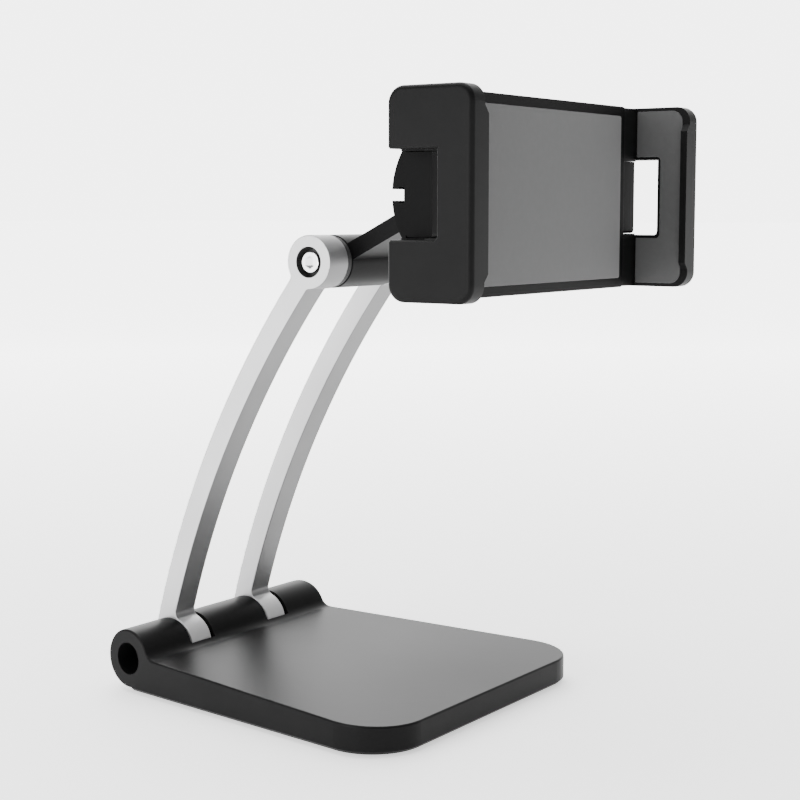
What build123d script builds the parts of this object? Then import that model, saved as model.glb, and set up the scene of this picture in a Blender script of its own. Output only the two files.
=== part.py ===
"""Adjustable phone stand: weighted base, twin curved arms, tilting neck, swivel head and sprung jaws.

Millimetres, +Z up, -Y towards the user. The origin is on the table, under the centre of the
whole stand. X runs along both hinge pins.
"""
from build123d import *
import math
import os

# ---------------------------------------------------------------- overall layout
total_depth = 181.1
foot_proud = 1.0
overrun = 1.0  # how far a cutting shape runs past the face it cuts
run_gap = 0.05  # clearance of a turning fit
slide_gap = 0.2  # clearance of a sliding fit
pick_gap = 0.1  # margin used when picking edges by their place

# base plate and hinge barrel
barrel_r = 11.2
barrel_lift = 1.0
hinge_y = total_depth / 2 - barrel_r
hinge_z = foot_proud + barrel_lift + barrel_r
barrel_half = 53.1
side_flare = 0.12
plate_reach = 130.1
plate_front_y = hinge_y - plate_reach
plate_front_top = 10.6
plate_rear_top = 15.0
plate_corner_r = 20.0
barrel_blend_r = 5.0
plate_edge_r = 0.7
plate_bottom_chamfer = 1.1
recess_r = 6.15
recess_floor_x = 37.0

# hollow underside, ballast, cover and feet
wall = 4.0
roof_z = 8.0
cavity_rear_y = hinge_y - 18.5
cover_inset = 3.0
cover_thick = 1.6
cover_gap = 0.2
cover_screw_r = 1.25
cover_head_r = 2.6
cross_long = 3.0
cross_wide = 0.6
cross_deep = 0.7
boss_r = 3.4
boss_screw_deep = 4.0
ballast_inset = 7.0
ballast_low = foot_proud + cover_thick + 0.1
ballast_high = roof_z - 0.3
ballast_clear = 1.0
screw_points = [(-50, -30), (50, -30), (-46, 50), (46, 50)]
foot_points = {
    "front_left": (-53, -37),
    "front_right": (53, -37),
    "rear_left": (-40, 54),
    "rear_right": (40, 54),
}
foot_r = 6.2
foot_edge_r = 0.4

# hinge hardware
hinge_pin_r = 4.0
bush_r = 5.6
washer_thick = 1.0
bolt_head_r = recess_r - 0.45
bolt_head_thick = 5.0
bolt_tip_out = 6.4
bolt_key_r = 3.0
bolt_key_deep = 3.2
hinge_nut_r = recess_r - 0.3
hinge_nut_thick = 4.5
washer_r = recess_r - 0.35

# arms
arm_in_x = 17.4
arm_out_x = 28.4
arm_gap = 1.25
knuckle_r = 10.85
slot_r = 11.75
friction_disc_r = knuckle_r - 2.2
arc_y = hinge_y - 366.0
arc_z = hinge_z - 94.2
arc_back_r = 388.0
arm_wide = 8.3
arm_edge_r = 0.45
crook_r = 3.0
eye_y = hinge_y - 68.8
eye_z = hinge_z + 150.7
eye_r = 9.75
eye_blend_r = 2.0
eye_sink_r = 5.6
eye_sink_deep = 4.0

# upper pivot
pivot_pin_r = 3.0
pivot_head_r = 3.85
pivot_head_thick = 3.2
pivot_head_edge_r = 0.4
pivot_thread_in = 1.6
hex_r = 2.45
hex_deep = 2.2
nut_hex_deep = 1.2

# neck
neck_half = 14.8
neck_bush_r = 4.4
neck_edge_r = 0.4
ring_out_r = eye_r - 0.35
ring_in_r = pivot_pin_r + 0.3
ring_end_x = arm_in_x - 0.1
tongue_half = 14.6
tongue_thick = 6.3
tongue_rise = 26.0
tongue_drop = 0.35
flange_r = 14.0
flange_front_y = -46.5
flange_thick = 5.0

# swivel
swivel_z = 187.15
stud_r = 4.0
stud_root = 0.5
stud_short = 1.6
boss_swivel_r = 13.0
boss_back_y = -47.6
swivel_washer_r = boss_swivel_r - 0.5
pocket_r = 8.6
pocket_floor_y = -61.0
spring_washer_r = pocket_r - 1.0
spring_washer_thick = 1.2
swivel_nut_r = pocket_r - 1.1
swivel_nut_thick = 4.4

# clamp head
jaw_front_y = -total_depth / 2
jaw_back_y = -59.15
clamp_high = 66.5
clamp_half_high = clamp_high / 2
panel_half = 57.8
panel_high = clamp_high - 0.2
panel_corner_r = 1.5
panel_front_y = -70.6
floor_y = -68.75
back_plate_y = -64.1
back_y = -59.5
back_edge_r = 1.0
frame_edge_r = 0.5
pad_half = 54.6
pad_half_high = 29.7
pad_deep = 1.1
pad_sheet = 0.6
pad_proud = 0.15
pad_corner_r = 1.0
pad_gap = 0.05
pad_edge_r = 0.12
rail_half = 67.8
rail_half_high = 13.3
rail_end_y = -69.5
rail_corner_r = 1.3
dome_half_high = 13.6
dome_edge_y = -58.0
dome_crest_y = -54.2
groove_mouth = 3.6
groove_wide = 4.9
groove_lip = 2.6
groove_deep = 4.6
panel_screw_x = (-40, 40)
panel_screw_z = (-8, 8)
panel_screw_r = 1.2
panel_screw_long = 5.5
panel_screw_head_r = 2.4
panel_screw_head_thick = 0.5

# jaws
jaw_in_x = 70.65
jaw_out_x = 77.85
jaw_corner_r = 5.6
jaw_edge_r = 1.7
notch_half_high = 14.0
notch_front_y = -77.75
notch_corner_r = 1.5
notch_chamfer = 0.5
bar_end_x = 4.0
bar_thick = 4.0
bar_inner = rail_half_high + slide_gap
bar_outer = panel_high / 2 - 0.15
bar_middle = (bar_inner + bar_outer) / 2
root_from_x = panel_half + slide_gap
root_back_y = back_y - slide_gap
root_outer = clamp_half_high - jaw_corner_r
root_middle = (bar_inner + root_outer) / 2
lip_out = 2.2
lip_thick = 2.6
lip_half_long = 24.2
lip_ramp = 2.5
jaw_pad_seat = 0.9
jaw_pad_proud = 0.25
jaw_pad_gap = 0.1
jaw_pad_glue = 0.05
jaw_pad_front_y = jaw_front_y + lip_thick + 0.3
jaw_pad_back_y = floor_y - 0.2
jaw_pad_half_high = clamp_half_high - 1.2
jaw_pad_corner_r = 4.4
jaw_pad_border = 1.0

# jaw springs
spring_r = 1.6
spring_wire_r = 0.3
spring_eye_r = 1.35
spring_eye_out_r = spring_eye_r + spring_wire_r
spring_y = back_plate_y + 1.9
spring_pocket = 3.6
spring_pocket_high = 2 * spring_r + 1.6
spring_pocket_end = 4.0
spring_offset_z = 22.5
spring_near_x = 8.0
spring_far_x = 46.0
post_r = 0.9
post_short = 0.4
pin_front_y = back_plate_y + 0.5
pin_back_y = back_plate_y + spring_pocket + 1.0

os.makedirs("parts", exist_ok=True)


def save(builder, label):
    """Label a finished piece and write its STEP file."""
    builder.part.label = label
    export_step(builder.part, f"parts/{label}.step")


def across(x):
    """The YZ plane at a given X: local x is Y, local y is Z."""
    return Plane.YZ.offset(x)


def facing(y):
    """An XZ plane at a given Y, looking towards the user: local x is X, local y is Z."""
    return Plane(origin=(0, y, 0), x_dir=(1, 0, 0), z_dir=(0, -1, 0))


def x_cylinder(y, z, radius, x_from, x_to, mode=Mode.ADD):
    """A cylinder along X inside the current part."""
    with BuildSketch(across(x_from)) as disc:
        with Locations((y, z)):
            Circle(radius)
    extrude(disc.sketch, amount=x_to - x_from, mode=mode)


def x_ring(label, y, z, r_out, r_in, spans):
    """One node of plain rings along X, one ring for each (from, to) span."""
    with BuildPart() as ring:
        for x_from, x_to in spans:
            x_cylinder(y, z, r_out, x_from, x_to)
            x_cylinder(y, z, r_in, x_from, x_to, Mode.SUBTRACT)
    save(ring, label)


def y_cylinder(z, radius, y_back, y_front, x=0.0, mode=Mode.ADD):
    """A cylinder along Y inside the current part, from its back face to its front face."""
    with BuildSketch(facing(y_back)) as disc:
        with Locations((x, z)):
            Circle(radius)
    extrude(disc.sketch, amount=y_back - y_front, mode=mode)


def half_width(y):
    """Half the width of the base at a given Y: it widens steadily towards the user."""
    return barrel_half + side_flare * (hinge_y - y)


def plan_outline(inset, rear_y, corner_r=plate_corner_r):
    """Plan of the base, its sides flared and its two front corners round, inset all round."""
    slant = inset * math.hypot(1, side_flare)
    front_y = plate_front_y + inset
    front_x = half_width(front_y) - slant
    rear_x = half_width(rear_y) - slant
    Polygon((-front_x, front_y), (front_x, front_y), (rear_x, rear_y), (-rear_x, rear_y), align=None)
    front_corners = vertices().group_by(Axis.Y)[0]
    fillet(front_corners, radius=corner_r - inset)


def plate_rims():
    """Edges of the current part that lie round the plate, well in front of the barrel."""
    return edges().filter_by_position(Axis.Y, plate_front_y - pick_gap, hinge_y - 2 * barrel_r, (True, True))


# ---------------------------------------------------------------- base
def base_shell():
    """Moulded shell: sloping plate, hinge barrel along its back edge, hollow underneath."""
    widest = half_width(plate_front_y) + overrun
    with BuildPart() as shell:
        with BuildSketch(across(-widest)):
            Polygon(
                (plate_front_y, foot_proud),
                (plate_front_y, plate_front_top),
                (hinge_y, plate_rear_top),
                (hinge_y, hinge_z),
                (hinge_y - barrel_lift * 2, foot_proud),
                align=None,
            )
            with Locations((hinge_y, hinge_z)):
                Circle(barrel_r)
            inner_corner = vertices().sort_by_distance((hinge_y - barrel_r, plate_rear_top))[0]
            fillet(inner_corner, radius=barrel_blend_r)
        extrude(amount=2 * widest)
        with BuildSketch(Plane.XY):
            plan_outline(0, hinge_y + barrel_r + overrun)
        extrude(amount=2 * hinge_z, mode=Mode.INTERSECT)
        chamfer(plate_rims().group_by(Axis.Z)[0], plate_bottom_chamfer)
        top_rims = plate_rims().filter_by_position(Axis.Z, plate_front_top - pick_gap, plate_rear_top)
        fillet(top_rims, plate_edge_r)
        # room for the cover, the ballast and the screw bosses
        with BuildSketch(Plane.XY.offset(foot_proud)):
            plan_outline(cover_inset, cavity_rear_y + overrun)
        extrude(amount=cover_thick, mode=Mode.SUBTRACT)
        with BuildSketch(Plane.XY.offset(foot_proud)):
            plan_outline(wall, cavity_rear_y)
        extrude(amount=roof_z - foot_proud, mode=Mode.SUBTRACT)
        with BuildSketch(Plane.XY.offset(foot_proud + cover_thick)):
            with Locations(*screw_points):
                Circle(boss_r)
        extrude(amount=roof_z - foot_proud - cover_thick)
        with BuildSketch(Plane.XY.offset(foot_proud + cover_thick)):
            with Locations(*screw_points):
                Circle(cover_screw_r)
        extrude(amount=boss_screw_deep, mode=Mode.SUBTRACT)
        # slots for the knuckles, the pin's bore and the two end recesses
        for side in (-1, 1):
            x_cylinder(hinge_y, hinge_z, slot_r, side * (arm_in_x - arm_gap), side * (arm_out_x + arm_gap),
                       Mode.SUBTRACT)
            x_cylinder(hinge_y, hinge_z, recess_r, side * recess_floor_x, side * widest, Mode.SUBTRACT)
        bore_end = recess_floor_x + overrun
        x_cylinder(hinge_y, hinge_z, hinge_pin_r + run_gap, -bore_end, bore_end, Mode.SUBTRACT)
    save(shell, "base_shell")


def base_weight():
    """Flat steel ballast, cut away round the screw bosses."""
    with BuildPart() as weight:
        with BuildSketch(Plane.XY.offset(ballast_low)):
            plan_outline(ballast_inset, cavity_rear_y - (ballast_inset - wall))
            with Locations(*screw_points):
                Circle(boss_r + ballast_clear, mode=Mode.SUBTRACT)
        extrude(amount=ballast_high - ballast_low)
    save(weight, "base_weight")


def base_cover():
    """Bottom cover with countersunk holes."""
    with BuildPart() as cover:
        with BuildSketch(Plane.XY.offset(foot_proud)):
            plan_outline(cover_inset + cover_gap, cavity_rear_y + overrun - cover_gap)
        extrude(amount=cover_thick)
        with Locations(*[Location((x, y, foot_proud), (180, 0, 0)) for x, y in screw_points]):
            CounterSinkHole(cover_screw_r, cover_head_r, cover_thick, 90)
    save(cover, "base_cover")


def base_screws():
    """Four countersunk screws that hold the cover to the shell."""
    head_deep = cover_head_r - cover_screw_r
    with BuildPart() as screws:
        with BuildSketch(Plane.XY.offset(foot_proud)):
            with Locations(*screw_points):
                Circle(cover_head_r)
        extrude(amount=head_deep, taper=45)
        with BuildSketch(Plane.XY.offset(foot_proud)):
            with Locations(*screw_points):
                Circle(cover_screw_r)
        extrude(amount=cover_thick + boss_screw_deep - stud_root)
        with BuildSketch(Plane.XY.offset(foot_proud)):
            with Locations(*screw_points):
                Rectangle(cross_long, cross_wide)
                Rectangle(cross_wide, cross_long)
        extrude(amount=cross_deep, mode=Mode.SUBTRACT)
    save(screws, "base_screws")


def rubber_feet():
    """Four round feet glued under the cover and the rim."""
    for name, (x, y) in foot_points.items():
        with BuildPart() as foot:
            with BuildSketch(Plane.XY):
                with Locations((x, y)):
                    Circle(foot_r)
            extrude(amount=foot_proud)
            fillet(foot.edges().group_by(Axis.Z)[0], foot_edge_r)
        save(foot, f"foot_{name}")


def base_hinge():
    """Through bolt, nut, plain washers and the friction discs beside each knuckle."""
    seat = recess_floor_x + washer_thick
    head_end = seat + bolt_head_thick
    with BuildPart() as bolt:
        x_cylinder(hinge_y, hinge_z, hinge_pin_r, -seat, recess_floor_x + bolt_tip_out)
        x_cylinder(hinge_y, hinge_z, bolt_head_r, -head_end, -seat)
        with BuildSketch(across(-head_end)):
            with Locations((hinge_y, hinge_z)):
                RegularPolygon(bolt_key_r, 6)
        extrude(amount=bolt_key_deep, mode=Mode.SUBTRACT)
    save(bolt, "hinge_bolt")
    with BuildPart() as nut:
        with BuildSketch(across(seat)):
            with Locations((hinge_y, hinge_z)):
                RegularPolygon(hinge_nut_r, 6)
                Circle(hinge_pin_r, mode=Mode.SUBTRACT)
        extrude(amount=hinge_nut_thick)
    save(nut, "hinge_nut")
    spans = [(-seat, -recess_floor_x), (recess_floor_x, seat)]
    x_ring("hinge_washers", hinge_y, hinge_z, washer_r, hinge_pin_r, spans)
    inner_x = arm_in_x - arm_gap
    outer_x = arm_out_x + arm_gap
    disc = arm_gap - 2 * run_gap
    spans = []
    for side in (-1, 1):
        spans.append((side * inner_x, side * (inner_x + disc)))
        spans.append((side * outer_x, side * (outer_x - disc)))
    x_ring("friction_discs", hinge_y, hinge_z, friction_disc_r, hinge_pin_r + run_gap, spans)


# ---------------------------------------------------------------- arms
def arm(label, side):
    """Curved arm: a round knuckle below, a round eye above and a constant arc between them."""
    low = math.degrees(math.atan2(hinge_z - arc_z, hinge_y - arc_y))
    high = math.degrees(math.atan2(eye_z - arc_z, eye_y - arc_y))
    front_r = arc_back_r - arm_wide
    x_from, x_to = side * arm_in_x, side * arm_out_x
    with BuildPart() as body:
        with BuildSketch(across(x_from)) as outline:
            with BuildLine():
                back = CenterArc((arc_y, arc_z), arc_back_r, low, high - low)
                front = CenterArc((arc_y, arc_z), front_r, low, high - low)
                Line(back @ 0, front @ 0)
                Line(back @ 1, front @ 1)
            make_face()
            with Locations((hinge_y, hinge_z)):
                Circle(knuckle_r)
            with Locations((eye_y, eye_z)):
                Circle(eye_r)
            crook = outline.vertices().sort_by_distance((hinge_y, hinge_z + knuckle_r))[0]
            fillet(crook, radius=crook_r)
            for near_eye in ((eye_y, eye_z - eye_r), (eye_y + eye_r, eye_z)):
                fillet(outline.vertices().sort_by_distance(near_eye)[0], radius=eye_blend_r)
        extrude(amount=x_to - x_from)
        fillet(body.edges().filter_by(Axis.X, reverse=True), arm_edge_r)
        x_cylinder(hinge_y, hinge_z, bush_r, x_from, x_to, Mode.SUBTRACT)
        x_cylinder(eye_y, eye_z, pivot_pin_r, x_from, x_to, Mode.SUBTRACT)
        x_cylinder(eye_y, eye_z, eye_sink_r, x_to, x_to - side * eye_sink_deep, Mode.SUBTRACT)
    save(body, label)


def arm_hardware():
    """Nylon bushes in the knuckles, and the socket screw and sleeve nut of the upper pivot."""
    for name, side in (("left", -1), ("right", 1)):
        x_ring(f"knuckle_bush_{name}", hinge_y, hinge_z, bush_r, hinge_pin_r + run_gap,
               [(side * arm_in_x, side * arm_out_x)])
    seat = arm_out_x - eye_sink_deep
    head_end = seat + pivot_head_thick
    with BuildPart() as screw:
        x_cylinder(eye_y, eye_z, pivot_pin_r, -seat, seat + pivot_thread_in)
        x_cylinder(eye_y, eye_z, pivot_head_r, -head_end, -seat)
        fillet(screw.edges().group_by(Axis.X)[0], pivot_head_edge_r)
        with BuildSketch(across(-head_end)):
            with Locations((eye_y, eye_z)):
                RegularPolygon(hex_r, 6, rotation=30)
        extrude(amount=hex_deep, mode=Mode.SUBTRACT)
    save(screw, "pivot_screw")
    with BuildPart() as nut:
        x_cylinder(eye_y, eye_z, pivot_head_r, seat, head_end)
        fillet(nut.edges().group_by(Axis.X)[-1], pivot_head_edge_r)
        x_cylinder(eye_y, eye_z, pivot_pin_r, seat, seat + pivot_thread_in, Mode.SUBTRACT)
        with BuildSketch(across(head_end)):
            with Locations((eye_y, eye_z)):
                RegularPolygon(hex_r, 6, rotation=30)
        extrude(amount=-nut_hex_deep, mode=Mode.SUBTRACT)
    save(nut, "pivot_nut")


# ---------------------------------------------------------------- neck
def neck_link():
    """Neck: a barrel between the eyes, a flat rising tongue and a round swivel flange."""
    rise = math.radians(tongue_rise)
    flange_back_y = flange_front_y + flange_thick
    run = (eye_y - flange_back_y + overrun) / math.cos(rise)
    with BuildPart() as neck:
        x_cylinder(eye_y, eye_z, eye_r - run_gap, -neck_half, neck_half)
        fillet(neck.edges().filter_by(GeomType.CIRCLE), neck_edge_r)
        with BuildSketch(across(-tongue_half)):
            with Locations(Location((eye_y, eye_z - tongue_drop), 180 - tongue_rise)):
                Rectangle(run, tongue_thick, align=(Align.MIN, Align.CENTER))
        extrude(amount=2 * tongue_half)
        y_cylinder(swivel_z, flange_r, flange_back_y, flange_front_y)
        y_cylinder(swivel_z, stud_r, flange_back_y - stud_root, flange_front_y, mode=Mode.SUBTRACT)
        x_cylinder(eye_y, eye_z, neck_bush_r, -neck_half, neck_half, Mode.SUBTRACT)
    save(neck, "neck_link")


def neck_hardware():
    """Pivot bush, the two black friction rings, and the swivel's stud, washers and nut."""
    x_ring("neck_bush", eye_y, eye_z, neck_bush_r, pivot_pin_r + run_gap, [(-neck_half, neck_half)])
    for name, side in (("left", -1), ("right", 1)):
        span = (side * neck_half, side * ring_end_x)
        x_ring(f"friction_ring_{name}", eye_y, eye_z, ring_out_r, ring_in_r, [span])
    washer_front_y = boss_back_y + run_gap
    with BuildPart() as washer:
        y_cylinder(swivel_z, swivel_washer_r, flange_front_y, washer_front_y)
        y_cylinder(swivel_z, stud_r + slide_gap, flange_front_y, washer_front_y, mode=Mode.SUBTRACT)
    save(washer, "swivel_washer")
    with BuildPart() as stud:
        y_cylinder(swivel_z, stud_r, flange_front_y + flange_thick - stud_root, floor_y + stud_short)
    save(stud, "swivel_stud")
    disc_back_y = pocket_floor_y - run_gap
    disc_front_y = disc_back_y - spring_washer_thick
    with BuildPart() as disc:
        y_cylinder(swivel_z, spring_washer_r, disc_back_y, disc_front_y)
        y_cylinder(swivel_z, stud_r, disc_back_y, disc_front_y, mode=Mode.SUBTRACT)
    save(disc, "swivel_spring_washer")
    with BuildPart() as nut:
        with BuildSketch(facing(disc_front_y)):
            with Locations((0, swivel_z)):
                RegularPolygon(swivel_nut_r, 6)
                Circle(stud_r, mode=Mode.SUBTRACT)
        extrude(amount=swivel_nut_thick)
    save(nut, "swivel_nut")


# ---------------------------------------------------------------- clamp head
def panel_slab(y_back, thick):
    """A plate the size of the head's panel, inside the current part."""
    with BuildSketch(facing(y_back)) as face:
        with Locations((0, swivel_z)):
            RectangleRounded(2 * panel_half, panel_high, panel_corner_r)
    extrude(face.sketch, amount=thick)


def rail(x_from, x_to, front_y, corner_r):
    """One stretch of the domed rail and its long groove, inside the current part."""
    with BuildSketch(across(x_from)) as profile:
        with Locations((front_y, swivel_z)):
            Rectangle(back_y - front_y, 2 * rail_half_high, align=(Align.MIN, Align.CENTER))
        if corner_r:
            fillet(vertices().group_by(Axis.Y)[0], corner_r)
        with Locations((back_y, swivel_z)):
            Rectangle(dome_edge_y - back_y, 2 * dome_half_high, align=(Align.MIN, Align.CENTER))
        with BuildLine():
            low = (dome_edge_y, swivel_z - dome_half_high)
            high = (dome_edge_y, swivel_z + dome_half_high)
            ThreePointArc(low, (dome_crest_y, swivel_z), high)
            Line(high, low)
        make_face()
        inward = (Align.MAX, Align.CENTER)
        with Locations((dome_crest_y + overrun, swivel_z)):
            Rectangle(groove_deep + overrun, groove_mouth, align=inward, mode=Mode.SUBTRACT)
        with Locations((dome_crest_y - groove_lip, swivel_z)):
            Rectangle(groove_deep - groove_lip, groove_wide, align=inward, mode=Mode.SUBTRACT)
    extrude(profile.sketch, amount=x_to - x_from)


def panel_screw_holes(y_back, y_front):
    """Cuts the four panel screw holes through the current part."""
    for x in panel_screw_x:
        for offset_z in panel_screw_z:
            y_cylinder(swivel_z + offset_z, panel_screw_r, y_back, y_front, x, Mode.SUBTRACT)


def head_back():
    """Back of the head: domed rail with its long groove, swivel boss and two open jaw channels."""
    with BuildPart() as back:
        panel_slab(back_y, back_y - floor_y)
        fillet(back.faces().sort_by(Axis.Y)[-1].edges(), back_edge_r)
        for half in (-1, 1):
            with BuildSketch(facing(back_plate_y)):
                with Locations((0, swivel_z + half * rail_half_high)):
                    Rectangle(2 * panel_half + overrun, clamp_half_high,
                              align=(Align.CENTER, Align.MIN if half > 0 else Align.MAX))
            extrude(amount=back_plate_y - floor_y, mode=Mode.SUBTRACT)
            # pocket for the spring and its posts, open towards the bars
            with BuildSketch(facing(back_plate_y + spring_pocket)):
                with Locations((0, swivel_z + half * spring_offset_z)):
                    SlotOverall(2 * (spring_far_x + spring_pocket_end), spring_pocket_high)
            extrude(amount=spring_pocket, mode=Mode.SUBTRACT)
        rail(-panel_half, panel_half, floor_y, 0)
        for side in (-1, 1):
            rail(side * (panel_half + slide_gap), side * rail_half, rail_end_y, rail_corner_r)
            rail(side * panel_half, side * (panel_half + slide_gap), floor_y, 0)
        y_cylinder(swivel_z, boss_swivel_r, boss_back_y, dome_edge_y)
        y_cylinder(swivel_z, pocket_r, pocket_floor_y, floor_y, mode=Mode.SUBTRACT)
        y_cylinder(swivel_z, stud_r + run_gap, boss_back_y, floor_y, mode=Mode.SUBTRACT)
        panel_screw_holes(floor_y + panel_screw_long + slide_gap, floor_y)
        for side in (-1, 1):
            z = swivel_z - side * spring_offset_z
            y_cylinder(z, post_r, pin_back_y, pin_front_y, -side * spring_far_x, Mode.SUBTRACT)
    save(back, "head_back")


def head_front():
    """Front frame with a shallow tray, the soft pad in it and the screws under the pad."""
    tray_y = panel_front_y + pad_deep
    with BuildPart() as frame:
        panel_slab(floor_y, floor_y - panel_front_y)
        fillet(frame.faces().sort_by(Axis.Y)[0].edges(), frame_edge_r)
        with BuildSketch(facing(tray_y)):
            with Locations((0, swivel_z)):
                RectangleRounded(2 * pad_half, 2 * pad_half_high, pad_corner_r)
        extrude(amount=pad_deep, mode=Mode.SUBTRACT)
        panel_screw_holes(floor_y, panel_front_y)
    save(frame, "head_frame")
    with BuildPart() as pad:
        with BuildSketch(facing(tray_y)):
            with Locations((0, swivel_z)):
                RectangleRounded(2 * pad_half, 2 * pad_half_high, pad_corner_r)
            offset(amount=-pad_gap, mode=Mode.REPLACE)
        extrude(amount=pad_deep + pad_proud)
        fillet(pad.faces().sort_by(Axis.Y)[0].edges(), pad_edge_r)
        # room for the screw heads in the pad's back
        for x in panel_screw_x:
            for offset_z in panel_screw_z:
                y_cylinder(swivel_z + offset_z, panel_screw_head_r + slide_gap, tray_y, tray_y - pad_sheet, x,
                           Mode.SUBTRACT)
    save(pad, "head_pad")
    with BuildPart() as screws:
        for x in panel_screw_x:
            for offset_z in panel_screw_z:
                z = swivel_z + offset_z
                y_cylinder(z, panel_screw_r, floor_y + panel_screw_long, tray_y, x)
                y_cylinder(z, panel_screw_head_r, tray_y, tray_y - panel_screw_head_thick, x)
    save(screws, "panel_screws")


def jaw_springs():
    """Close-wound springs in the head's pockets and the pins that hold their fixed ends."""
    coil_from = spring_eye_r - spring_near_x
    coil_to = spring_far_x - spring_eye_r
    for name, side in (("left", -1), ("right", 1)):
        z = swivel_z - side * spring_offset_z
        ends = (side * spring_near_x, -side * spring_far_x)
        with BuildPart() as spring:
            x_cylinder(spring_y, z, spring_r, -side * coil_from, -side * coil_to)
            for x in ends:
                y_cylinder(z, spring_eye_out_r, spring_y + spring_wire_r, spring_y - spring_wire_r, x)
            for x in ends:
                y_cylinder(z, spring_eye_r - spring_wire_r, spring_y + spring_r, spring_y - spring_r, x,
                           Mode.SUBTRACT)
        save(spring, f"jaw_spring_{name}")
    with BuildPart() as pins:
        for side in (-1, 1):
            z = swivel_z - side * spring_offset_z
            y_cylinder(z, post_r, pin_back_y, pin_front_y, -side * spring_far_x)
    save(pins, "spring_pins")


# ---------------------------------------------------------------- jaws
def jaw_pad_outline(gap):
    """C-shaped outline of a jaw's rubber face, round the notch and in front of the bars."""
    back_y = jaw_pad_back_y - gap
    front_y = jaw_pad_front_y + gap
    past_y = back_y + 2 * jaw_pad_corner_r
    with Locations(((front_y + past_y) / 2, swivel_z)):
        RectangleRounded(past_y - front_y, 2 * (jaw_pad_half_high - gap), jaw_pad_corner_r)
    with Locations((back_y, swivel_z)):
        Rectangle(past_y - back_y, clamp_high, align=(Align.MIN, Align.CENTER), mode=Mode.SUBTRACT)
    with Locations((notch_front_y - jaw_pad_border - gap, swivel_z)):
        Rectangle(past_y - notch_front_y, 2 * (notch_half_high + jaw_pad_border + gap),
                  align=(Align.MIN, Align.CENTER), mode=Mode.SUBTRACT)


def jaw(name, side):
    """Jaw: an outer wall with a lip and a notch, and two flat bars that slide in the head."""
    bar_front_y = floor_y + slide_gap
    with BuildPart() as body:
        # wall
        with BuildSketch(across(side * jaw_in_x)):
            with Locations(((jaw_front_y + jaw_back_y) / 2, swivel_z)):
                RectangleRounded(jaw_back_y - jaw_front_y, clamp_high, jaw_corner_r)
        extrude(amount=side * (jaw_out_x - jaw_in_x))
        outer_face = body.faces().sort_by(Axis.X)[-1 if side > 0 else 0]
        fillet(outer_face.edges(), jaw_edge_r)
        # notch, open to the back, with round front corners and a softened outer edge
        with BuildSketch(across(side * (jaw_in_x - overrun))):
            with Locations((notch_front_y, swivel_z)):
                Rectangle(jaw_back_y - notch_front_y + overrun, 2 * notch_half_high,
                          align=(Align.MIN, Align.CENTER))
            fillet(vertices().group_by(Axis.Y)[0], notch_corner_r)
        extrude(amount=side * (jaw_out_x - jaw_in_x + 2 * overrun), mode=Mode.SUBTRACT)
        outer_edges = body.faces().sort_by(Axis.X)[-1 if side > 0 else 0].edges()
        notch_edges = outer_edges.filter_by_position(Axis.Z, swivel_z - notch_half_high - pick_gap,
                                                     swivel_z + notch_half_high + pick_gap)
        chamfer(notch_edges.filter_by_position(Axis.Y, notch_front_y - pick_gap, jaw_back_y - jaw_edge_r),
                notch_chamfer)
        # retaining lip along the front edge, ramped at both ends
        root_x = side * jaw_in_x
        tip_x = side * (jaw_in_x - lip_out)
        with BuildSketch(facing(jaw_front_y)):
            Polygon(
                (root_x + side, swivel_z - lip_half_long - lip_ramp),
                (root_x, swivel_z - lip_half_long - lip_ramp),
                (tip_x, swivel_z - lip_half_long),
                (tip_x, swivel_z + lip_half_long),
                (root_x, swivel_z + lip_half_long + lip_ramp),
                (root_x + side, swivel_z + lip_half_long + lip_ramp),
                align=None,
            )
        extrude(amount=-lip_thick)
        # floor bars
        for half in (-1, 1):
            with BuildSketch(facing(bar_front_y + bar_thick)):
                with Locations((side * (bar_end_x + jaw_in_x) / 2, swivel_z + half * bar_middle)):
                    Rectangle(jaw_in_x - bar_end_x, bar_outer - bar_inner)
            extrude(amount=bar_thick)
            # thick root between the head's end and the wall
            with BuildSketch(facing(root_back_y)):
                with Locations((side * (root_from_x + jaw_in_x) / 2, swivel_z + half * root_middle)):
                    Rectangle(jaw_in_x - root_from_x, root_outer - bar_inner)
            extrude(amount=root_back_y - bar_front_y)
        # post that takes the moving end of the spring
        y_cylinder(swivel_z - side * spring_offset_z, post_r, back_plate_y + spring_pocket - post_short,
                   bar_front_y + bar_thick, side * spring_near_x)
        # shallow seat for the rubber face
        with BuildSketch(across(root_x)):
            jaw_pad_outline(0)
        extrude(amount=side * jaw_pad_seat, mode=Mode.SUBTRACT)
    save(body, f"jaw_{name}")
    with BuildPart() as pad:
        with BuildSketch(across(side * (jaw_in_x - jaw_pad_proud))):
            jaw_pad_outline(jaw_pad_gap)
        extrude(amount=side * (jaw_pad_seat - jaw_pad_glue + jaw_pad_proud))
    save(pad, f"jaw_pad_{name}")


base_shell()
base_weight()
base_cover()
base_screws()
rubber_feet()
base_hinge()
arm("arm_left", -1)
arm("arm_right", 1)
arm_hardware()
neck_link()
neck_hardware()
head_back()
head_front()
jaw_springs()
jaw("left", -1)
jaw("right", 1)
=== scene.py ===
"""Looks for the phone stand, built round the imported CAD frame. Metres, +Z up, -Y towards the user."""
import math

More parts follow.
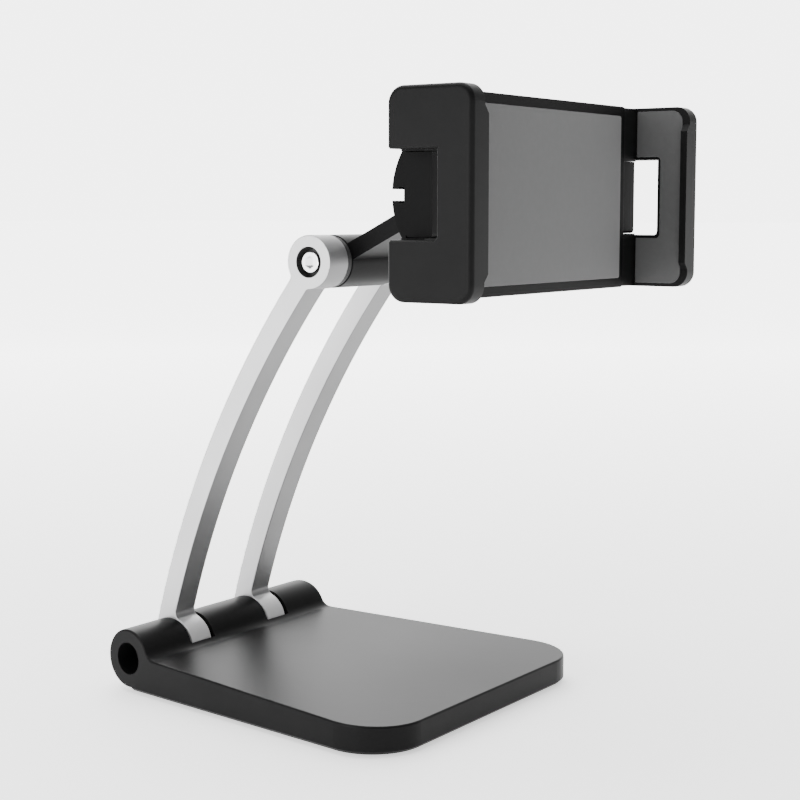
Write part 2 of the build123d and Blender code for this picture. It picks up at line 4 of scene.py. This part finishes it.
import bmesh
import bpy
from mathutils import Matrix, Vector


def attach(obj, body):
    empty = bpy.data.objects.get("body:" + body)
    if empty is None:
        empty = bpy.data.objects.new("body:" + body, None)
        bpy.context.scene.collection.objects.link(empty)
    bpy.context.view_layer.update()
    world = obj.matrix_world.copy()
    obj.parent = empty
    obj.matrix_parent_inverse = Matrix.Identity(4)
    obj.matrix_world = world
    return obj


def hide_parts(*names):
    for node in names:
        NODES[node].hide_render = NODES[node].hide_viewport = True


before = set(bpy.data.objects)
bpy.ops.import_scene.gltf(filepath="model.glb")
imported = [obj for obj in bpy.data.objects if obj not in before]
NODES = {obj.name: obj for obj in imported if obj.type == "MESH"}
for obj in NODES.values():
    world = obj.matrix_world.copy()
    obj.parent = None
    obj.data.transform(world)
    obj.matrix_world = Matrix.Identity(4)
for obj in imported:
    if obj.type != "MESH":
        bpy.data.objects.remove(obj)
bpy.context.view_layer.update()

MM = 0.001
SIDES = (("left", -1), ("right", 1))

# Places taken from the CAD. Lengths are in millimetres unless they are multiplied by MM.
EYE_AXIS = (10.55, 163.9)
HINGE_AXIS = (79.35, 13.2)
SWIVEL_Z = 187.15
KNUCKLE_R = 10.95
# Out to this radius round the eye's axis the arms carry painted shade for the counterbore.
COUNTERBORE_SHADE_R = 5.58
FEET = {"front_left": (-53, -37), "front_right": (53, -37), "rear_left": (-40, 54), "rear_right": (40, 54)}
STAND_MID = (0.0, 0.0, 100 * MM)

# Camera, in metres and degrees.
CAMERA_AT = (-501.1 * MM, -361.96 * MM, 182.0 * MM)
CAMERA_YAW = 54.885
CAMERA_DOWN = 6.434
CAMERA_CLIP = 0.01
FOCAL_IN_WIDTHS = 1672.5 / 800
SENSOR_WIDE = 36.0

# Studio: the floor's glow grows from its middle outwards, a painted shadow round the stand; the surround is
# white behind the stand.
FLOOR_HALF = 25.0
FLOOR_TONE = 0.86
FLOOR_ROUGH = 0.9
FLOOR_SPECULAR = 0.1
GLOW_FROM, GLOW_TO = 0.1, 1.6
# Less glow near the middle than far out: a painted shadow round the stand's foot.
NEAR_GLOW_PAINTED_SHADOW, FAR_GLOW = 1.0, 4.4
SURROUND = 5.0
SURROUND_DIM = 0.09
SURROUND_FADE = (0.55, 0.9)
# Each light: name, place, size across, watts.
LIGHTS = (("key_left", (-1.2, 0.25, 0.35), 0.8, 18),
          ("top_soft", (0.1, 0.2, 1.3), 1.4, 30),
          ("back_soft", (0.9, 1.0, 1.0), 0.7, 9))

# Tones of the finishes, as linear greys.
# Arm flanks are painted lighter as lit, and their front and back darker as painted shade.
FLANK_PAINTED_LIT_TONE, EDGE_PAINTED_SHADE_TONE = 0.5, 0.16
# Painted shade in the counterbore of the arms' eyes, near-black.
COUNTERBORE_SHADE_TONES = (0.006, 0.01)
PAD_TONE, JAW_PAD_TONE = 0.052, 0.045

# Head pad: half width, half height, corner radius; back, wall foot and front heights; rim radius.
PAD_HALF_WIDE, PAD_HALF_HIGH, PAD_CORNER_R = 54.55, 29.65, 0.95
PAD_BACK, PAD_WALL, PAD_FRONT, PAD_RIM_R = 69.5, 69.65, 70.75, 0.3
PAD_BACK_INSET = 0.15

# Jaw pads: a C outline in the jaw's plane, with a notch towards the panel.
JAW_PAD_FRONT, JAW_PAD_BACK, JAW_PAD_HALF_HIGH, JAW_PAD_CORNER_R = 87.55, 69.05, 31.95, 4.3
NOTCH_FRONT, NOTCH_HALF_HIGH, NOTCH_R = 78.85, 15.1, 1.6
JAW_PAD_OUTER, JAW_PAD_INNER, JAW_PAD_RIM_R = 71.5, 70.4, 0.22

# Closed (radius, height) profiles of the turned soft pieces.
FOOT_PROFILE = [(0.0, 1.0), (6.2, 1.0), (6.2, 0.45), (6.05, 0.18), (5.75, 0.0),
                (4.6, 0.0), (4.45, 0.3), (3.6, 0.3), (3.45, 0.0), (0.0, 0.0)]
RING_PROFILE = [(3.35, 14.8), (9.1, 14.8), (9.4, 15.05), (9.4, 15.45), (9.2, 15.55), (9.2, 15.7), (9.4, 15.8),
                (9.4, 16.25), (9.2, 16.35), (9.2, 16.5), (9.4, 16.6), (9.4, 17.05), (9.1, 17.3), (3.35, 17.3)]

# Springs: posts' places along X, distance of the coil's axis behind and above or below the swivel.
SPRING_NEAR_X, SPRING_FAR_X = 8.0, 46.0
SPRING_Y, SPRING_OFF_Z = -62.2, 22.5
COIL_R, WIRE_R, HOOK_R, COIL_PITCH = 1.28, 0.28, 1.3, 0.62
COIL_STEPS, HOOK_STEPS = 14, 20
HOOK_START, HOOK_SWEEP, HOOK_END_START = 40, 290, -330


# ---------------------------------------------------------------- camera, lights and surround
def place_in_scene(name, data):
    """Makes an object from data and links it to the scene."""
    made = bpy.data.objects.new(name, data)
    bpy.context.scene.collection.objects.link(made)
    return made


def add_camera():
    """The main view: in front of the stand, to its left, a little above the clamp."""
    data = bpy.data.cameras.new("main_camera")
    data.sensor_width = SENSOR_WIDE
    data.lens = FOCAL_IN_WIDTHS * SENSOR_WIDE
    data.clip_start = CAMERA_CLIP
    camera = place_in_scene("main_camera", data)
    yaw, down = math.radians(CAMERA_YAW), math.radians(CAMERA_DOWN)
    ahead = Vector((math.sin(yaw) * math.cos(down), math.cos(yaw) * math.cos(down), -math.sin(down)))
    camera.matrix_world = ahead.to_track_quat("-Z", "Y").to_matrix().to_4x4()
    camera.location = CAMERA_AT
    bpy.context.scene.camera = camera


def add_light(name, at, across, watts):
    """A soft square light at a place, turned towards the stand."""
    data = bpy.data.lights.new(name, "AREA")
    data.shape = "RECTANGLE"
    data.size, data.size_y = across, across
    data.energy = watts
    light = place_in_scene(name, data)
    light.location = at
    light.rotation_euler = (Vector(STAND_MID) - Vector(at)).to_track_quat("-Z", "Y").to_euler()


def add_world():
    """A studio surround: white behind the stand, dim behind the camera."""
    world = bpy.data.worlds.new("studio_world")
    world.use_nodes = True
    tree = world.node_tree
    background = tree.nodes["Background"]
    place = tree.nodes.new("ShaderNodeTexCoord")
    along = tree.nodes.new("ShaderNodeVectorMath")
    along.operation = "DOT_PRODUCT"
    yaw = math.radians(CAMERA_YAW)
    along.inputs[1].default_value = (math.sin(yaw), math.cos(yaw), 0)
    fade = tree.nodes.new("ShaderNodeValToRGB")
    for element, position, tone in zip(fade.color_ramp.elements, SURROUND_FADE, (SURROUND_DIM, 1)):
        element.position = position
        element.color = grey(tone)
    background.inputs["Strength"].default_value = SURROUND
    tree.links.new(place.outputs["Generated"], along.inputs[0])
    tree.links.new(along.outputs["Value"], fade.inputs["Fac"])
    tree.links.new(fade.outputs["Color"], background.inputs["Color"])
    bpy.context.scene.world = world


def add_floor():
    """A white floor that glows, dimmer round its middle as a painted shadow under the stand."""
    mesh = bpy.data.meshes.new("studio_floor")
    shape = bmesh.new()
    bmesh.ops.create_grid(shape, x_segments=1, y_segments=1, size=FLOOR_HALF)
    shape.to_mesh(mesh)
    shape.free()
    floor = place_in_scene("studio_floor", mesh)
    r = Recipe("studio_white_painted_shadow")
    reach = r.node("ShaderNodeVectorMath", operation="LENGTH")
    r.link(r.place, reach.inputs[0])
    # Dimmer glow near the stand: a painted shadow.
    glow_with_painted_shadow = r.ranged(reach.outputs["Value"], GLOW_FROM, GLOW_TO, NEAR_GLOW_PAINTED_SHADOW, FAR_GLOW)
    r.link(glow_with_painted_shadow, r.shader.inputs["Emission Strength"])
    r.set(Base_Color=grey(FLOOR_TONE), Roughness=FLOOR_ROUGH, Specular_IOR_Level=FLOOR_SPECULAR,
          Emission_Color=grey(1))
    mesh.materials.append(r.material)


# ---------------------------------------------------------------- materials
class Recipe:
    """A node material built up by short calls."""

    def __init__(self, name):
        self.material = bpy.data.materials.new(name)
        self.material.use_nodes = True
        self.tree = self.material.node_tree
        self.shader = self.tree.nodes["Principled BSDF"]
        self.place = self.node("ShaderNodeTexCoord").outputs["Object"]

    def node(self, kind, **settings):
        made = self.tree.nodes.new(kind)
        for key, value in settings.items():
            setattr(made, key, value)
        return made

    def link(self, source, target):
        self.tree.links.new(source, target)

    def set(self, **values):
        """Sets the shader's own sockets, with underscores for the spaces in their names."""
        for key, value in values.items():
            self.shader.inputs[key.replace("_", " ")].default_value = value

    def stretched(self, scale):
        """The object coordinates, scaled along each axis."""
        made = self.node("ShaderNodeMapping")
        made.inputs["Scale"].default_value = scale
        self.link(self.place, made.inputs["Vector"])
        return made.outputs["Vector"]

    def noise(self, scale, detail, rough, stretch=(1, 1, 1)):
        made = self.node("ShaderNodeTexNoise")
        made.inputs["Scale"].default_value = scale
        made.inputs["Detail"].default_value = detail
        made.inputs["Roughness"].default_value = rough
        self.link(self.stretched(stretch), made.inputs["Vector"])
        return made.outputs["Fac"]

    def ramp(self, source, low, high, low_at=0.3, high_at=0.7):
        """Colours from low to high as the source goes from low_at to high_at."""
        made = self.node("ShaderNodeValToRGB")
        for element, position, colour in zip(made.color_ramp.elements, (low_at, high_at), (low, high)):
            element.position = position
            element.color = colour
        self.link(source, made.inputs["Fac"])
        return made.outputs["Color"]

    def ranged(self, source, from_low, from_high, to_low, to_high):
        """The source's range, mapped to another and held at its ends."""
        made = self.node("ShaderNodeMapRange")
        ends = zip(("From Min", "From Max", "To Min", "To Max"), (from_low, from_high, to_low, to_high))
        for socket, value in ends:
            made.inputs[socket].default_value = value
        self.link(source, made.inputs["Value"])
        return made.outputs["Result"]

    def spread(self, source, low, high):
        """The 0 to 1 source as a value between low and high."""
        return self.ranged(source, 0, 1, low, high)

    def stepped(self, source, low, high):
        """0 below low, 1 above high."""
        return self.ranged(source, low, high, 0, 1)

    def reach(self, axis):
        """Distance in metres from an axis along X, given by its (y, z) in millimetres."""
        made = self.node("ShaderNodeVectorMath", operation="DISTANCE")
        made.inputs[1].default_value = (0, axis[0] * MM, axis[1] * MM)
        self.link(self.stretched((0, 1, 1)), made.inputs[0])
        return made.outputs["Value"]

    def sideways(self):
        """1 where the surface faces along X, 0 where it is at right angles to X."""
        parts = self.node("ShaderNodeSeparateXYZ")
        self.link(self.node("ShaderNodeNewGeometry").outputs["Normal"], parts.inputs[0])
        made = self.node("ShaderNodeMath", operation="ABSOLUTE")
        self.link(parts.outputs["X"], made.inputs[0])
        return made.outputs[0]

    def bump(self, source, strength, distance, normal=None):
        """A surface normal from a height, laid over another normal if one is given."""
        made = self.node("ShaderNodeBump")
        made.inputs["Strength"].default_value = strength
        made.inputs["Distance"].default_value = distance
        self.link(source, made.inputs["Height"])
        if normal is not None:
            self.link(normal, made.inputs["Normal"])
        return made.outputs["Normal"]

    def mixed(self, factor, first, second):
        """The first colour where the factor is 0, the second where it is 1."""
        made = self.node("ShaderNodeMix", data_type="RGBA")
        self.link(factor, made.inputs["Factor"])
        self.link(first, made.inputs[6])
        self.link(second, made.inputs[7])
        return made.outputs[2]

    def finish(self, colour, rough, normal, **constants):
        """Links colour, roughness and normal to the shader, sets the rest and gives the material."""
        self.link(colour, self.shader.inputs["Base Color"])
        self.link(rough, self.shader.inputs["Roughness"])
        self.link(normal, self.shader.inputs["Normal"])
        self.set(**constants)
        return self.material


def grey(value, tint=0.0):
    """An opaque grey, a touch bluer with a positive tint."""
    return (value, value, value * (1 + tint), 1)


def moulded(name, dark, light, rough, gloss=0.12):
    """Moulded plastic: fine grain, faint cloudy tone and uneven gloss."""
    r = Recipe(name)
    body = r.ramp(r.noise(38.0, 5.0, 0.6), grey(dark, 0.02), grey(light, 0.02))
    smudge = r.noise(9.0, 3.0, 0.5)
    waves = r.bump(r.noise(60.0, 2.0, 0.5), 0.05, 0.0004)
    grain = r.bump(r.noise(900.0, 2.0, 0.5), 0.08, 0.00006, waves)
    return r.finish(body, r.spread(smudge, rough - 0.05, rough + 0.07), grain,
                    IOR=1.45, Specular_IOR_Level=gloss)


def rubber(name, dark, light, rough=0.72):
    """Silicone or rubber: matt, very fine tooth, faint dusty patches."""
    r = Recipe(name)
    clouds = r.noise(55.0, 6.0, 0.62)
    dust = r.noise(420.0, 3.0, 0.6)
    base = r.ramp(clouds, grey(dark, 0.01), grey(light, 0.01), 0.25, 0.75)
    specks = r.ramp(dust, grey(dark * 0.93), grey(light * 1.05), 0.35, 0.7)
    tooth = r.bump(r.noise(1600.0, 2.0, 0.5), 0.12, 0.00005)
    return r.finish(r.mixed(r.spread(dust, 0.15, 0.35), base, specks),
                    r.spread(clouds, rough - 0.05, rough + 0.08), tooth,
                    IOR=1.43, Specular_IOR_Level=0.35, Sheen_Weight=0.15, Sheen_Roughness=0.5)


def blasted_aluminium_painted_light(name):
    """Bead-blasted aluminium: flanks painted lighter as lit, front and back painted darker as shade, painted
    near-black shade in the eye's counterbore.
    """
    r = Recipe(name)
    beads = r.noise(2600.0, 2.0, 0.6)
    clouds = r.noise(24.0, 4.0, 0.5)
    # Lit and shaded copies of the aluminium: painted light, chosen by which way the surface faces.
    lit_flank_paint, shaded_edge_paint = (r.ramp(clouds, grey(tone - spread, 0.008), grey(tone + spread, 0.01))
                   for tone, spread in ((FLANK_PAINTED_LIT_TONE, 0.03), (EDGE_PAINTED_SHADE_TONE, 0.02)))
    bar_painted_light = r.mixed(r.stepped(r.sideways(), 0.55, 0.9), shaded_edge_paint, lit_flank_paint)
    # The turned knuckle round the hinge keeps the lighter flank tone all round: a real turned ring, drawn in
    # the painted lit tone.
    past_knuckle = r.stepped(r.reach(HINGE_AXIS), KNUCKLE_R * MM, (KNUCKLE_R + 0.4) * MM)
    # Painted shade in the eye's counterbore, near-black out to its radius.
    past_counterbore_shade = r.stepped(r.reach(EYE_AXIS), COUNTERBORE_SHADE_R * MM, (COUNTERBORE_SHADE_R + 0.05) * MM)
    counterbore_shade = r.ramp(clouds, *(grey(tone) for tone in COUNTERBORE_SHADE_TONES))
    body = r.mixed(past_counterbore_shade, counterbore_shade, r.mixed(past_knuckle, lit_flank_paint, bar_painted_light))
    return r.finish(body, r.spread(beads, 0.34, 0.46), r.bump(beads, 0.07, 0.00004), Metallic=0.4, IOR=1.5)


def bright_metal(name, tone, rough, metallic=1.0):
    """Turned, polished or plated metal with faint tool marks."""
    r = Recipe(name)
    marks = r.noise(700.0, 3.0, 0.6, (0.15, 1, 1))
    stains = r.ramp(r.noise(45.0, 4.0, 0.6), grey(tone * 0.9, 0.01), grey(tone, 0.015))
    return r.finish(stains, r.spread(marks, rough * 0.7, rough * 1.3), r.bump(marks, 0.04, 0.00003),
                    Metallic=metallic)


def dress(material, *names):
    """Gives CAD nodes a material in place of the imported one."""
    for name in names:
        data = NODES[name].data
        data.materials.clear()
        data.materials.append(material)


# ---------------------------------------------------------------- meshes, in millimetres until finished
def finish_mesh(name, shape, sharp_degrees=35):
    """Turns a bmesh in millimetres into a smooth-shaded object in metres."""
    bmesh.ops.recalc_face_normals(shape, faces=shape.faces)
    bmesh.ops.scale(shape, vec=(MM, MM, MM), verts=shape.verts)
    mesh = bpy.data.meshes.new(name)
    shape.to_mesh(mesh)
    shape.free()
    mesh.shade_smooth()
    mesh.set_sharp_from_angle(angle=math.radians(sharp_degrees))
    return place_in_scene(name, mesh)


def join_rings(shape, low, high):
    """Faces between two rings with the same number of vertices."""
    count = len(low)
    for i in range(count):
        shape.faces.new((low[i], low[(i + 1) % count], high[(i + 1) % count], high[i]))


def join_stack(shape, rings):
    """Faces along a stack of rings, capped at both ends."""
    for low, high in zip(rings, rings[1:]):
        join_rings(shape, low, high)
    shape.faces.new(rings[0][::-1])
    shape.faces.new(rings[-1])


def inset_outline(outline, amount):
    """A closed counter-clockwise outline moved inwards by a small amount."""
    moved = []
    for index, point in enumerate(outline):
        before = Vector(outline[index - 1])
        here = Vector(point)
        after = Vector(outline[(index + 1) % len(outline)])
        first = (here - before).normalized()
        second = (after - here).normalized()
        normal = Vector((-first.y - second.y, first.x + second.x)).normalized()
        stretch = max(0.5, normal.dot(Vector((-first.y, first.x))))
        moved.append(here + normal * (amount / stretch))
    return moved


def prism(name, outline, levels, placed):
    """A closed solid: the outline at each (inset, height) level, joined up and capped at both ends."""
    shape = bmesh.new()
    rings = []
    for inset, height in levels:
        rings.append([shape.verts.new(placed(u, v, height)) for u, v in inset_outline(outline, inset)])
    join_stack(shape, rings)
    return finish_mesh(name, shape)


def rounded_rim(front, radius, steps=5):
    """Levels of a quarter-round rim that ends at the front height."""
    angles = [math.pi / 2 * step / steps for step in range(steps + 1)]
    return [(radius * (1 - math.cos(t)), front - radius * (1 - math.sin(t))) for t in angles]


def arc(centre, radius, start, sweep, steps=8):
    """Points of an arc in degrees, both ends included."""
    angles = [math.radians(start + sweep * i / steps) for i in range(steps + 1)]
    return [(centre[0] + radius * math.cos(t), centre[1] + radius * math.sin(t)) for t in angles]


def lathe(name, profile, placed, around=72):
    """A closed solid of revolution from a closed (radius, height) profile."""
    shape = bmesh.new()
    rings = []
    for step in range(around):
        turn = 2 * math.pi * step / around
        rings.append([shape.verts.new(placed(r * math.cos(turn), r * math.sin(turn), h)) for r, h in profile])
    for step, ring in enumerate(rings):
        join_rings(shape, ring, rings[(step + 1) % around])
    bmesh.ops.remove_doubles(shape, verts=shape.verts, dist=1e-5)
    return finish_mesh(name, shape)


def wire(name, points, radius, sides=7):
    """A round wire along a path, closed at both ends."""
    shape = bmesh.new()
    path = [Vector(p) for p in points]
    up = Vector((0, 1, 0))
    rings = []
    for index, here in enumerate(path):
        ahead = (path[min(index + 1, len(path) - 1)] - path[max(index - 1, 0)]).normalized()
        up = (up - ahead * up.dot(ahead)).normalized()
        across = ahead.cross(up)
        ring = []
        for side in range(sides):
            turn = 2 * math.pi * side / sides
            ring.append(shape.verts.new(here + radius * (math.cos(turn) * up + math.sin(turn) * across)))
        rings.append(ring)
    join_stack(shape, rings)
    return finish_mesh(name, shape, 80)


def fit_piece(made, material, body, node):
    """Gives a built piece its finish, its body and the CAD node it stands for."""
    made.data.materials.append(material)
    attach(made, body)
    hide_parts(node)


# ---------------------------------------------------------------- soft and wound pieces
def add_head_pad():
    """Soft face of the clamp: a thin silicone sheet with a rounded rim."""
    x, z = PAD_HALF_WIDE - PAD_CORNER_R, PAD_HALF_HIGH - PAD_CORNER_R
    outline = []
    for centre, start in (((x, z), 0), ((-x, z), 90), ((-x, -z), 180), ((x, -z), 270)):
        outline += arc(centre, PAD_CORNER_R, start, 90)
    levels = [(PAD_BACK_INSET, PAD_BACK), (0.0, PAD_WALL)] + rounded_rim(PAD_FRONT, PAD_RIM_R)
    pad = prism("soft_head_pad", outline, levels, lambda u, v, h: (u, -h, SWIVEL_Z + v))
    finish = rubber("pad_silicone", PAD_TONE * 0.95, PAD_TONE * 1.05)
    fit_piece(pad, finish, "head", "head_pad")


def add_jaw_pads():
    """C-shaped rubber faces of the jaws, with rounded rims."""
    corner = (JAW_PAD_FRONT - JAW_PAD_CORNER_R, JAW_PAD_HALF_HIGH - JAW_PAD_CORNER_R)
    inner = (NOTCH_FRONT - NOTCH_R, NOTCH_HALF_HIGH - NOTCH_R)
    outline = arc(corner, JAW_PAD_CORNER_R, 0, 90)
    outline += [(JAW_PAD_BACK, JAW_PAD_HALF_HIGH), (JAW_PAD_BACK, NOTCH_HALF_HIGH)]
    outline += arc(inner, NOTCH_R, 90, -90)
    outline += arc((inner[0], -inner[1]), NOTCH_R, 0, -90)
    outline += [(JAW_PAD_BACK, -NOTCH_HALF_HIGH), (JAW_PAD_BACK, -JAW_PAD_HALF_HIGH)]
    outline += arc((corner[0], -corner[1]), JAW_PAD_CORNER_R, -90, 90)
    finish = rubber("jaw_silicone", JAW_PAD_TONE * 0.94, JAW_PAD_TONE * 1.06)
    levels = [(0.0, -JAW_PAD_OUTER)] + rounded_rim(-JAW_PAD_INNER, JAW_PAD_RIM_R)
    for name, side in SIDES:
        pad = prism(f"soft_jaw_pad_{name}", outline, levels, lambda u, v, h: (-side * h, -u, SWIVEL_Z + v))
        fit_piece(pad, finish, f"jaw_{name}", f"jaw_pad_{name}")


def add_feet():
    """Rubber feet: flat discs with a softened rim and one ring groove underneath."""
    finish = rubber("foot_rubber", 0.008, 0.013, 0.8)
    for name, (x, y) in FEET.items():
        foot = lathe(f"soft_foot_{name}", FOOT_PROFILE, lambda u, v, h: (x + u, y + v, h))
        fit_piece(foot, finish, "base", f"foot_{name}")


def add_friction_rings():
    """Black rings beside the neck's barrel, each with two fine grooves round it."""
    finish = rubber("ring_rubber", 0.004, 0.007, 0.5)
    for name, side in SIDES:
        ring = lathe(f"soft_ring_{name}", RING_PROFILE,
                     lambda u, v, h: (side * h, EYE_AXIS[0] + u, EYE_AXIS[1] + v))
        fit_piece(ring, finish, "neck", f"friction_ring_{name}")


def spring_path(low_x, high_x, z):
    """Centre line of an extension spring: a hook, the coils and a hook, from low_x to high_x."""
    reach = HOOK_R + WIRE_R
    turns = round((high_x - low_x - 2 * reach) / COIL_PITCH)
    path = [(low_x + u, SPRING_Y, z + v) for u, v in arc((0, 0), HOOK_R, HOOK_START, HOOK_SWEEP, HOOK_STEPS)]
    for i in range(turns * COIL_STEPS + 1):
        angle = 2 * math.pi * i / COIL_STEPS
        path.append((low_x + reach + COIL_PITCH * i / COIL_STEPS,
                     SPRING_Y + COIL_R * math.cos(angle), z + COIL_R * math.sin(angle)))
    path += [(high_x - u, SPRING_Y, z + v)
             for u, v in arc((0, 0), HOOK_R, HOOK_END_START, HOOK_SWEEP, HOOK_STEPS)]
    return path


def add_springs():
    """Wound extension springs behind the panel, hooked over a post at each end."""
    finish = bright_metal("spring_wire", 0.5, 0.25)
    for name, side in SIDES:
        low_x, high_x = sorted((side * SPRING_NEAR_X, -side * SPRING_FAR_X))
        path = spring_path(low_x, high_x, SWIVEL_Z - side * SPRING_OFF_Z)
        spring = wire(f"wound_spring_{name}", path, WIRE_R)
        fit_piece(spring, finish, "head", f"jaw_spring_{name}")


# ---------------------------------------------------------------- build
add_camera()
add_world()
add_floor()
for light in LIGHTS:
    add_light(*light)

dress(moulded("base_black", 0.0045, 0.0065, 0.38, gloss=0.07), "base_shell")
dress(moulded("cover_black", 0.003, 0.005, 0.55), "base_cover")
dress(moulded("neck_black", 0.002, 0.0035, 0.36, gloss=0.05), "neck_link")
dress(moulded("head_black", 0.001, 0.002, 0.45, gloss=0.05), "head_back", "head_frame")
dress(moulded("jaw_black", 0.002, 0.0035, 0.44, gloss=0.08), "jaw_left", "jaw_right")
dress(blasted_aluminium_painted_light("arm_aluminium"), "arm_left", "arm_right")
dress(bright_metal("screw_chrome", 0.86, 0.12), "pivot_screw", "pivot_nut")
dress(bright_metal("ballast_steel", 0.2, 0.5), "base_weight")
dress(bright_metal("black_steel", 0.01, 0.4, 0.6), "hinge_bolt", "hinge_nut", "hinge_washers", "spring_pins")
dress(bright_metal("zinc_steel", 0.5, 0.28),
      "base_screws", "panel_screws", "swivel_stud", "swivel_nut", "swivel_spring_washer")
dress(moulded("nylon_black", 0.004, 0.007, 0.5),
      "friction_discs", "knuckle_bush_left", "knuckle_bush_right", "neck_bush", "swivel_washer")
add_head_pad()
add_jaw_pads()
add_feet()
add_friction_rings()
add_springs()
